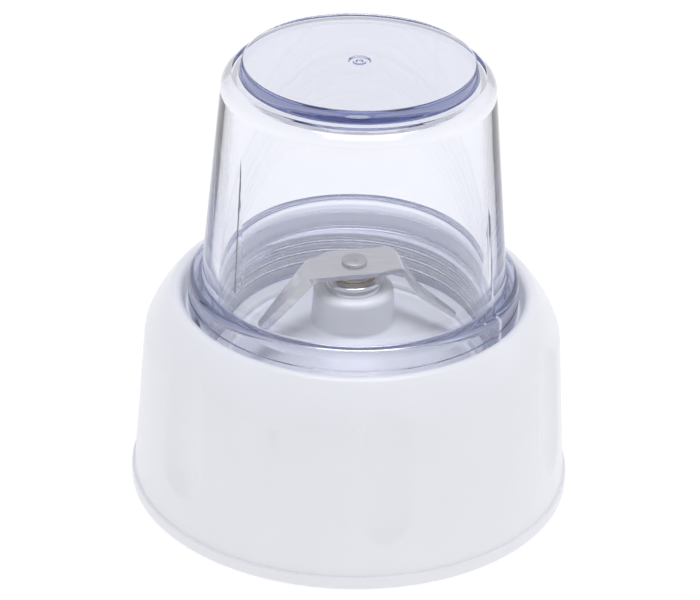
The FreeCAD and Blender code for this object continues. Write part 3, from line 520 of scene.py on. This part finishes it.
def even_threads(thing, inner, outer, low, high, rise, height_at):
    """Give a threaded wall exact normals, so that its shading follows the helix and not the mesh's grid.
    rise is how far the crest stands out from the wall, negative where it stands inwards."""
    mesh = thing.data
    points = np.array([v.co for v in mesh.vertices]) / MM
    owners, corners = np.empty(len(mesh.loops), int), np.empty(len(mesh.loops) * 3)
    mesh.loops.foreach_get("vertex_index", owners)
    mesh.corner_normals.foreach_get("vector", corners)
    radii, angles = np.hypot(points[:, 0], points[:, 1]), np.arctan2(points[:, 1], points[:, 0]) % TURN
    heights = points[:, 2]
    on_wall = (radii > inner) & (radii < outer) & (heights > low) & (heights < high)
    radii = np.maximum(radii, inner)
    reach_up, reach_round = 0.02, 0.002
    up = (height_at(heights + reach_up, angles) - height_at(heights - reach_up, angles)) / (2 * reach_up)
    round_by = height_at(heights, angles + reach_round) - height_at(heights, angles - reach_round)
    along = round_by / (2 * reach_round * radii)
    out = np.column_stack([np.cos(angles), np.sin(angles), np.zeros(len(angles))])
    way = np.column_stack([-np.sin(angles), np.cos(angles), np.zeros(len(angles))])
    exact = out - rise * (along[:, None] * way + up[:, None] * np.array([0, 0, 1]))
    exact *= math.copysign(1, rise) / np.linalg.norm(exact, axis=1, keepdims=True)
    shading = np.where(on_wall[owners][:, None], exact[owners], corners.reshape(-1, 3))
    mesh.normals_split_custom_set(shading.tolist())


def make_bowl():
    """Bowl with threaded collar, gasket trough, domed floor, boss, and the ribs and ears underneath."""
    collar_top = 54.2
    bore, crest = 44.4, 43.0
    section = outline([
        (7.25, 40.0, 0.3), (13.0, 40.0, 0.5), (13.0, 46.6, 1.0), (33.4, BOWL_UNDER, 1.0),
        (COLLAR, BOWL_UNDER, 0.5), (COLLAR, collar_top, 0.3), (bore, collar_top, 0.5), (bore, 39.3, 0.5),
        (34.0, 39.3, 0.8), (11.75, 49.7, 1.0), (11.3, 59.8, 2.4), (7.25, 59.8, 0.15)], run=1.2)
    section = finer(section, THREAD_ROW, 43, 54.1, inner=bore - 0.2, outer=bore + 0.2)

    def thread_at(heights, angles):
        return thread_height(heights, angles, THREAD_START + THREAD_LEAD / 4, 1.35, 7 / 360)

    def threads(radii, heights, angles):
        on_bore = (np.abs(radii - bore) < 0.05) & (heights > 42)
        return np.where(on_bore, radii - thread_at(heights, angles) * (bore - crest), radii), heights

    parts = [spin(section, around=432, shift=threads)]
    length, half, drop = BOWL_RIB_END - BOWL_RIB_START, 0.9, BOWL_RIB_TOP - BOWL_UNDER
    for number in range(BOWL_RIBS):
        rib = prism([(0, -half), (length, -half), (length, half), (0, half)], 0, drop, bevel=0.15)
        slant = rib[0][:, 0] / length
        rib[0][:, 2] = BOWL_UNDER + rib[0][:, 2] * (1 - slant * 0.93)
        parts.append(moved(rib, x=BOWL_RIB_START, turn=number * 360 / BOWL_RIBS + 15))
    end = [(EAR_REACH + EAR_RADIUS * math.cos(a), EAR_RADIUS * math.sin(a))
           for a in np.linspace(-math.pi / 2, math.pi / 2, 17)]
    for number in range(3):
        ear = prism([(46.5, -EAR_RADIUS), *end, (46.5, EAR_RADIUS)], EAR_LOW, EAR_TOP)
        parts.append(moved(ear, turn=POST_FIRST + number * 120))
    bowl = piece("mill_bowl_hero", "mill_bowl", "base", "white_plastic", *parts, sharp=50)
    even_threads(bowl, crest - 0.1, bore + 0.1, 42.2, collar_top - 0.6, crest - bore, thread_at)


def make_lock_ring():
    """Bayonet ring with three inward lugs and a screwed flange."""
    low, high = levels("lock_ring")
    bore, flange = 50.0, high - 2.5
    section = outline([
        (bore, low, 0.4), (52.4, low, 0.6), (52.4, flange, 0.5), (57.3, flange, 0.3),
        (57.3, high, 0.3), (bore, high, 0.3)], run=1.0)
    section = finer(section, 0.4, low, low + LUG_HEIGHT + 1, outer=bore + 0.3)

    def lugs(radii, heights, angles):
        depth = np.zeros(radii.shape)
        for number in range(LUGS):
            middle = math.radians(POST_FIRST + (number + 1) * 360 / LUGS)
            off = np.degrees(np.abs((angles - middle + math.pi) % TURN - math.pi))
            depth = np.maximum(depth, np.clip((LUG_HALF_ANGLE - off) / 0.6, 0, 1))
        rise = np.clip((low + LUG_HEIGHT - heights) / 0.25, 0, 1)
        on_bore = radii < bore + 0.5
        return radii - np.where(on_bore, LUG_DEPTH * depth * rise, 0), heights

    piece("lock_ring_hero", "lock_ring", "base", "nylon", spin(section, 540, shift=lugs))


def make_screws(node, away, first):
    """Three slotted pan-head screws, head down."""
    low, high = levels(node)
    head, shank, under, pitch = 2.2, 1.25, low + 2.0, 1.1
    profile = outline([
        (0, low), (1.6, low, 0.5), (head, low + 0.7, 0.5), (head, under, 0.1), (shank, under, 0.15),
        (shank, high - 0.8), (0.35, high), (0, high)], run=0.4, closed=False)

    def flanks(radii, heights, angles):
        cut = (heights > low + 3) & (radii > 1.0)
        wave = 0.5 + 0.5 * np.cos(TURN * heights / pitch - angles)
        return radii - np.where(cut, 0.3 * wave, 0), heights

    blank = spin(finer(profile, 0.14, under + 0.5, high - 0.8), 48, closed=False, shift=flanks)
    slot = prism([(-3, -0.4), (3, -0.4), (3, 0.4), (-3, 0.4)], low - 1, low + 0.8, bevel=0.01)
    screw = carved(blank, slot)
    parts = [moved(screw, x=away, turn=first + number * 120) for number in range(3)]
    piece(node + "_hero", node, "base", "plain_steel", *parts)


# ---------------------------------------------------------------- clear cup and gasket

CUP_TURNED = -22.0
CUP_RIB_DEPTH, CUP_RIB_HALF, CUP_RIB_LOW, CUP_RIB_TOP = 2.8, 0.55, 48.0, 90.0
CUP_RIB_ROOT = 37.5
CUP_RIM_INNER = 39.4


def cup_columns():
    """Column angles: even steps, with close ones across the two inner ribs."""
    even = np.arange(420) * TURN / 420
    ribs = [math.radians(CUP_TURNED + side) % TURN for side in (0, 180)]
    half = np.array([0.3, 0.44, 0.5, 0.55, 0.6, 0.66, 0.8, 1.1])
    close = np.concatenate([-half[::-1], half]) / CUP_RIB_ROOT
    near = np.concatenate([(rib + close) % TURN for rib in ribs])
    gap = np.min(np.abs((even[:, None] - np.array(ribs) + math.pi) % TURN - math.pi), axis=1)
    return np.sort(np.concatenate([even[gap > 1.3 / CUP_RIB_ROOT], near]))


def make_cup():
    """The cup as one closed wall of glass, so that light bends through it as through the real one."""
    rim, top = levels("mill_cup")
    neck, crest, ring_low, ring = 42.4, 43.9, 54.5, reach("mill_cup")
    ring_top = 64.7
    inner_top, ceiling = 34.9, 122.4
    corners = [
        (0, ceiling), (inner_top, ceiling, 3.2), (CUP_RIM_INNER, rim, 0.3), (neck, rim, 0.5),
        (neck, ring_low, 0.35),
        (ring, ring_low, 0.3), (ring, 58.8, 0.05), (ring - 0.3, 59.0, 0.05), (ring - 0.3, 59.2, 0.05),
        (ring, 59.4, 0.05), (ring, 62.3)]
    corners += arc((ring, 62.3), (44.4, ring_top), 1.9 * 1.6, 8)
    corners += [(42.35, ring_top, 0.6), (37.2, 120.8)]
    corners += arc((37.2, 120.8), (34.4, 125.2), 4.7, 10)
    corners += [(32.3, 125.2, 0.3), (31.7, 128.1), (31.2, top, 0.4), (3.1, top, 0.1), (2.7, top - 0.5, 0.1),
                (1.9, top - 0.5, 0.1), (1.6, top - 0.15, 0.1), (1.1, top - 0.2, 0.1), (0.8, top - 0.6, 0.1),
                (0, top - 0.6)]
    section = outline(corners, run=2.0, closed=False)
    section = finer(section, THREAD_ROW, 42, 54.3, inner=neck - 0.2, outer=neck + 0.2)
    section = finer(section, 0.15, CUP_RIB_LOW - 0.6, CUP_RIB_LOW + 0.6, outer=CUP_RIM_INNER + 0.2)
    turned = math.radians(CUP_TURNED)

    def thread_at(heights, angles):
        return thread_height(heights, angles, THREAD_START, 1.6, CUP_TURNED / 360)

    def details(radii, heights, angles):
        on_neck = (np.abs(radii - neck) < 0.05) & (heights < ring_low - 0.4) & (heights > rim + 0.8)
        radii = np.where(on_neck, radii + thread_at(heights, angles) * (crest - neck), radii)
        inside = (radii < CUP_RIM_INNER + 0.2) & (heights < CUP_RIB_TOP + 1)
        for side in (0, math.pi):
            off = np.abs((angles - turned - side + math.pi) % TURN - math.pi) * radii
            across = np.clip((CUP_RIB_HALF + 0.1 - off) / 0.2, 0, 1)
            fall = np.clip((CUP_RIB_TOP - heights) / (CUP_RIB_TOP - CUP_RIB_LOW), 0, 1)
            foot = np.clip((heights - CUP_RIB_LOW) / 0.3, 0, 1)
            radii = radii - np.where(inside, across * fall * foot * CUP_RIB_DEPTH, 0)
        return radii, heights

    cup = piece("mill_cup_hero", "mill_cup", "cup", "clear_plastic",
                spin(section, cup_columns(), closed=False, shift=details), sharp=60)
    even_threads(cup, neck - 0.1, crest + 0.1, 42.2, 54.0, crest - neck, thread_at)


def make_gasket():
    """Flat silicone ring with a groove in its top."""
    low, high = levels("cup_gasket")
    section = outline([
        (35.8, low, 0.3), (42.6, low, 0.3), (42.6, high, 0.3), (39.8, high, 0.15), (39.2, high - 0.4, 0.15),
        (38.6, high, 0.15), (35.8, high, 0.5)], run=0.8)
    piece("cup_gasket_hero", "cup_gasket", "gasket", "silicone", spin(section, 256))


# ---------------------------------------------------------------- turned metal and rubber pieces

def make_turned(node, body, slot, corners, around=96, closed=True, shift=None):
    """A node that is a solid of revolution, with its edges broken."""
    section = outline(corners, run=0.8, closed=closed)
    piece(node + "_hero", node, body, slot, spin(section, around, closed, shift))


def ring_corners(inner, outer, low, high, edge=0.12):
    """Corners of a plain ring's section, with its edges rounded."""
    return [(inner, low, edge), (outer, low, edge), (outer, high, edge), (inner, high, edge)]


def hexagon(circumradius, low, high):
    """A shift that trims a turned part to a hexagon, with a corner on the X axis, between two levels."""
    flat = circumradius * math.cos(math.pi / 6)

    def shift(radii, heights, angles):
        limit = flat / np.cos(angles % (math.pi / 3) - math.pi / 6)
        within = (heights > low) & (heights < high)
        return np.where(within, np.minimum(radii, limit), radii), heights

    return shift


def make_bearing():
    """Polished cap, upper bush, and the washer and nut that clamp the sleeve."""
    low, high = levels("bearing_cap")
    inner, outer, bore, ledge = 7.65, 8.3, 5.95, 61.42
    make_turned("bearing_cap", "base", "polished_steel", [
        (inner, low, 0.1), (outer, low, 0.12), (outer, high, 1.5), (bore, high, 0.3), (bore, ledge, 0.05),
        (inner, ledge, 0.05)], around=160)
    low, high = levels("upper_bush")
    make_turned("upper_bush", "base", "bronze", ring_corners(4.04, 5.8, low, high, 0.35))
    low, high = levels("nut_washer")
    make_turned("nut_washer", "base", "plain_steel", ring_corners(7.25, 11.5, low, high))
    low, high = levels("bearing_nut")
    corner = 10.5
    make_turned("bearing_nut", "base", "plain_steel", [
        (7.22, low + 0.4), (7.6, low, 0.1), (9.2, low, 0.1), (corner, low + 0.6, 0.1),
        (corner, high - 0.6, 0.1), (9.2, high, 0.1), (7.22, high, 0.1)],
        around=180, shift=hexagon(corner, low - 1, high + 1))


def make_shaft():
    """Shaft with a hexagonal foot, a tapped hole, a clip groove and a riveted head over the blade."""
    low, high = levels("drive_shaft")
    tapped, hex_corner, hex_top = 1.95, 3.4, 23.9
    shaft, groove, clip_low, clip_high = 4.0, 3.5, 29.2, 30.3
    shoulder, neck, head = 65.3, 3.0, 3.6
    corners = [
        (0, 22.0), (tapped, 22.0), (tapped, low + 0.3), (2.2, low, 0.05), (3.0, low, 0.1),
        (hex_corner, low + 0.4, 0.1), (hex_corner, hex_top), (shaft, hex_top + 0.1, 0.1),
        (shaft, clip_low, 0.1),
        (groove, clip_low, 0.05), (groove, clip_high, 0.05), (shaft, clip_high, 0.1),
        (shaft, shoulder, 0.1), (neck, shoulder, 0.05), (neck, BLADE_TOP, 0.05), (head, BLADE_TOP, 0.15),
        (head, high - 0.25, 0.3), (2.4, high, 0.6), (0, high)]
    make_turned("drive_shaft", "cutter", "plain_steel", corners, closed=False,
                shift=hexagon(hex_corner, low - 1, hex_top + 0.05))


def make_shaft_rings():
    """Spacer and thrust washers on the shaft."""
    for node, outer in (("blade_spacer", 4.9), ("upper_thrust_washer", 5.4), ("lower_thrust_washer", 6.6)):
        low, high = levels(node)
        make_turned(node, "cutter", "plain_steel", ring_corners(4.05, outer, low, high, 0.1))


def make_coupling():
    """Six-lobed rubber coupling with its insert, screw and washer."""
    low, high = levels("drive_coupling")
    hub, disc_low, lobe_reach, lobe = 11.0, 21.0, 12.4, 2.4
    insert_step = 22.0

    def lobes(radii, heights, angles):
        off = (angles + math.pi / 6) % (math.pi / 3) - math.pi / 6
        across = lobe_reach * np.sin(off)
        tip = lobe_reach * np.cos(off) + np.sqrt(np.clip(lobe ** 2 - across ** 2, 0, None))
        grown = np.where(np.abs(across) < lobe, tip, hub)
        grown = np.maximum(grown, hub)
        on_hub = (radii > hub - 1.2) & (heights < disc_low)
        return np.where(on_hub, radii * grown / hub, radii), heights

    section = outline([
        (6.05, low, 0.2), (hub, low, 0.8), (hub, disc_low, 0.05), (15.0, disc_low, 0.4), (15.0, high, 0.5),
        (8.05, high, 0.1), (8.05, insert_step, 0.05), (6.05, insert_step, 0.05)], run=0.8)
    piece("drive_coupling_hero", "drive_coupling", "cutter", "black_rubber",
          spin(section, 360, shift=lobes), sharp=45)
    low, high = levels("coupling_insert")
    make_turned("coupling_insert", "cutter", "plain_steel", [
        (3.45, low, 0.15), (6.0, low, 0.2), (6.0, insert_step, 0.1), (8.0, insert_step, 0.1),
        (8.0, high, 0.2),
        (3.45, high, 0.15)], around=96)
    low, high = levels("coupling_washer")
    make_turned("coupling_washer", "cutter", "plain_steel", ring_corners(2.05, 5.0, low, high))
    low, high = levels("coupling_screw")
    head, shank, under = 3.8, 1.9, 12.6
    corners = [(0, low), (3.3, low, 0.2), (head, low + 0.6, 0.3), (head, under, 0.15), (shank, under, 0.1),
               (shank, high - 0.6), (1.2, high, 0.1), (0, high)]
    blank = spin(outline(corners, run=0.8, closed=False), 72, closed=False)
    wrench = [(1.9 * math.cos(a), 1.9 * math.sin(a)) for a in np.arange(6) * TURN / 6]
    screw = carved(blank, prism(wrench, low - 1, low + 1.5, bevel=0.02))
    piece("coupling_screw_hero", "coupling_screw", "cutter", "plain_steel", screw)


# ---------------------------------------------------------------- cutter blade

BLADE_SHEET, BLADE_TOP, BLADE_TURNED = 1.5, 66.8, 12.0
BLADE_LEFT, BLADE_RIGHT = 11.0, 11.4
BEND_STEPS = 8


def wing_path(side, flat, runs, step=0.5):
    """Stations along a bent wing's top face, outwards from the flat: (x, z, heading) with the heading's
    angle below level. runs lists (bend angle, radius at the lower face, length)."""
    x, z, heading = flat, 0.0, 0.0
    stations = [(x, z, heading)]
    for bend, radius, length in runs:
        upward = bend < 0
        swing = radius if upward else radius + BLADE_SHEET
        for part in range(1, BEND_STEPS + 1):
            angle = heading + math.radians(bend) * part / BEND_STEPS
            way = -1 if upward else 1
            stations.append((x + way * swing * (math.sin(angle) - math.sin(heading)),
                             z + way * swing * (math.cos(angle) - math.cos(heading)), angle))
        x, z, heading = stations[-1]
        count = math.ceil(length / step)
        for part in range(1, count + 1):
            stations.append((x + length * part / count * math.cos(heading),
                             z - length * part / count * math.sin(heading), heading))
        x, z, heading = stations[-1]
    return [(side * x, z, side * heading) for x, z, heading in stations]


def make_blade():
    """Bent sheet blade: flat middle, two swept wings, broken edges and ground cutting edges."""
    left = wing_path(-1, BLADE_LEFT, [(51, 1.5, 21.5)])
    right = wing_path(1, BLADE_RIGHT, [(56, 1.5, 9.0), (-17, 8.0, 13.0)])
    flat = [(x, 0.0, 0.0) for x in np.arange(-10.5, 11.2, 0.5)]
    stations = left[::-1] + flat + right
    near = np.array([(-30, -1.9), (-12, -7.0), (5.4, -7.0), (11.4, -5.4), (18.4, -4.4), (29.0, -1.9),
                     (33.0, 0.4)])
    far = np.array([(-30, 1.9), (-15, 4.4), (-11, 4.0), (-6, 7.0), (10.6, 7.0), (11.9, 6.4), (18.4, 4.4),
                    (28.5, 2.85), (33.0, 0.4)])
    bevel, grind, edge = 0.1, 2.0, 0.45
    rings = []
    for x, z, heading in stations:
        low_side = np.interp(x, near[:, 0], near[:, 1])
        high_side = np.interp(x, far[:, 0], far[:, 1])
        wing = np.clip((abs(x) - 12.5) / 1.5, 0, 1)
        grind_here = min(grind * wing, (high_side - low_side) * 0.35)
        thin = BLADE_SHEET - (BLADE_SHEET - edge) * wing
        ground_near = x < 0
        near_thin, near_grind = (thin, grind_here) if ground_near else (BLADE_SHEET, 0.0)
        far_thin, far_grind = (BLADE_SHEET, 0.0) if ground_near else (thin, grind_here)
        profile = [
            (low_side + bevel + near_grind, 0.0), (high_side - bevel - far_grind, 0.0),
            (high_side - bevel, BLADE_SHEET - far_thin), (high_side, BLADE_SHEET - far_thin + bevel),
            (high_side, BLADE_SHEET - bevel), (high_side - bevel, BLADE_SHEET),
            (low_side + bevel, BLADE_SHEET), (low_side, BLADE_SHEET - bevel),
            (low_side, BLADE_SHEET - near_thin + bevel), (low_side + bevel, BLADE_SHEET - near_thin)]
        down = np.array([-math.sin(heading), 0, -math.cos(heading)])
        rings.append([np.array([x, y, BLADE_TOP + z]) + down * depth for y, depth in profile])
    count = len(rings[0])
    points = np.array(rings).reshape(-1, 3)
    faces = [[a * count + i, a * count + (i + 1) % count,
              (a + 1) * count + (i + 1) % count, (a + 1) * count + i]
             for a in range(len(rings) - 1) for i in range(count)]
    faces += [list(range(count))[::-1], list(range(len(points) - count, len(points)))]
    piece("cutter_blade_hero", "cutter_blade", "cutter", "stainless",
          moved((points, faces), turn=BLADE_TURNED), sharp=22)


# ---------------------------------------------------------------- studio

def softbox(name, place, size, power):
    """A white area lamp aimed at the middle of the mill."""
    light = bpy.data.lights.new(name, "AREA")
    light.shape = "RECTANGLE"
    light.size, light.size_y = size
    light.energy = power
    lamp = bpy.data.objects.new(name, light)
    bpy.context.scene.collection.objects.link(lamp)
    lamp.location = place
    lamp.rotation_euler = (Vector((0, 0, 0.06)) - lamp.location).to_track_quat("-Z", "Y").to_euler()


def make_floor():
    """A round pale floor, wide enough to fill every view."""
    ring = outline([(0, 0), (3000, 0)], run=150, closed=False)
    mesh = to_mesh("floor", spin(ring, 96, closed=False))
    floor = bpy.data.objects.new("floor", mesh)
    bpy.context.scene.collection.objects.link(floor)
    floor.location.z = -0.00005
    finish = Finish("floor_paint", (0.4, 0.4, 0.4), 0.7, Emission_Strength=0.66, Specular_IOR_Level=0.2)
    finish.set("Emission Color", (1, 1, 1, 1))
    finish.drive("Base Color", finish.blended(finish.noise(0.004), (0.39, 0.39, 0.40), (0.41, 0.41, 0.42)))
    mesh.materials.append(finish.material)


def make_world():
    """A white room: brightest at the horizon and below, a little cooler and dimmer overhead."""
    world = bpy.data.worlds.new("room")
    bpy.context.scene.world = world
    world.use_nodes = True
    nodes, links = world.node_tree.nodes, world.node_tree.links
    split = nodes.new("ShaderNodeSeparateXYZ")
    links.new(nodes.new("ShaderNodeTexCoord").outputs["Generated"], split.inputs[0])
    ramp = nodes.new("ShaderNodeValToRGB")
    elements = ramp.color_ramp.elements
    elements[0].position, elements[0].color = 0.0, (1.0, 1.0, 1.0, 1)
    elements[1].position, elements[1].color = 0.3, (0.97, 0.97, 1.0, 1)
    for position, shade in ((0.6, (0.88, 0.89, 0.97, 1)), (1.0, (0.80, 0.82, 0.94, 1))):
        elements.new(position).color = shade
    links.new(split.outputs["Z"], ramp.inputs["Fac"])
    back = nodes["Background"]
    links.new(ramp.outputs["Color"], back.inputs["Color"])
    back.inputs["Strength"].default_value = 0.68


def make_lights():
    """A strong lamp overhead and a weak one on the right."""
    softbox("top_light", (0.05, 0.0, 1.15), (0.7, 0.7), 4.9)
    softbox("right_light", (1.0, 0.1, 0.7), (0.5, 0.9), 0.35)


def make_camera():
    """The picture's view: a long lens, a little above the mill and tilted slightly."""
    distance, elevation, middle = 0.8794, math.radians(29.22), 0.0525
    pitch, yaw, roll = math.radians(29.065), math.radians(-0.067), math.radians(1.5)
    ahead = Vector((math.sin(yaw) * math.cos(pitch), math.cos(yaw) * math.cos(pitch), -math.sin(pitch)))
    right = Vector((math.cos(yaw), -math.sin(yaw), 0))
    up = right.cross(ahead)
    across = right * math.cos(roll) + up * math.sin(roll)
    upright = up * math.cos(roll) - right * math.sin(roll)
    data = bpy.data.cameras.new("camera")
    data.sensor_width, data.lens = 36.0, 162.0
    camera = bpy.data.objects.new("camera", data)
    bpy.context.scene.collection.objects.link(camera)
    turn = Matrix((across, upright, -ahead)).transposed().to_4x4()
    spot = Vector((0, -distance * math.cos(elevation), middle + distance * math.sin(elevation)))
    camera.matrix_world = Matrix.Translation(spot) @ turn
    bpy.context.scene.camera = camera


def set_light_paths():
    """Enough bounces for the clear wall, and plain tones."""
    scene = bpy.context.scene
    scene.view_settings.view_transform = "Standard"
    scene.cycles.max_bounces = 28
    scene.cycles.transmission_bounces = 26
    scene.cycles.glossy_bounces = 16
    scene.cycles.diffuse_bounces = 5
    scene.cycles.transparent_max_bounces = 16
    scene.cycles.blur_glossy = 0.5
    scene.cycles.sample_clamp_indirect = 4.0


# ---------------------------------------------------------------- build

make_skirt()
make_bowl()
make_lock_ring()
make_screws("housing_screws", EAR_REACH, POST_FIRST)
make_screws("lock_ring_screws", LOCK_POST_REACH, POST_FIRST + 60)
make_cup()
make_gasket()
make_bearing()
make_shaft()
make_shaft_rings()
make_coupling()
make_blade()

HIDDEN_IN_BOSS = {
    "bearing_sleeve": "plain_steel",
    "sleeve_seal": "black_rubber",
    "lower_bush": "bronze",
    "oil_felt": "felt",
    "shaft_seal": "black_rubber",
    "shaft_circlip": "plain_steel",
}
for name, slot in HIDDEN_IN_BOSS.items():
    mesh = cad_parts[name].data
    mesh.materials.clear()
    mesh.materials.append(FINISHES[slot])

make_floor()
make_world()
make_lights()
make_camera()
set_light_paths()
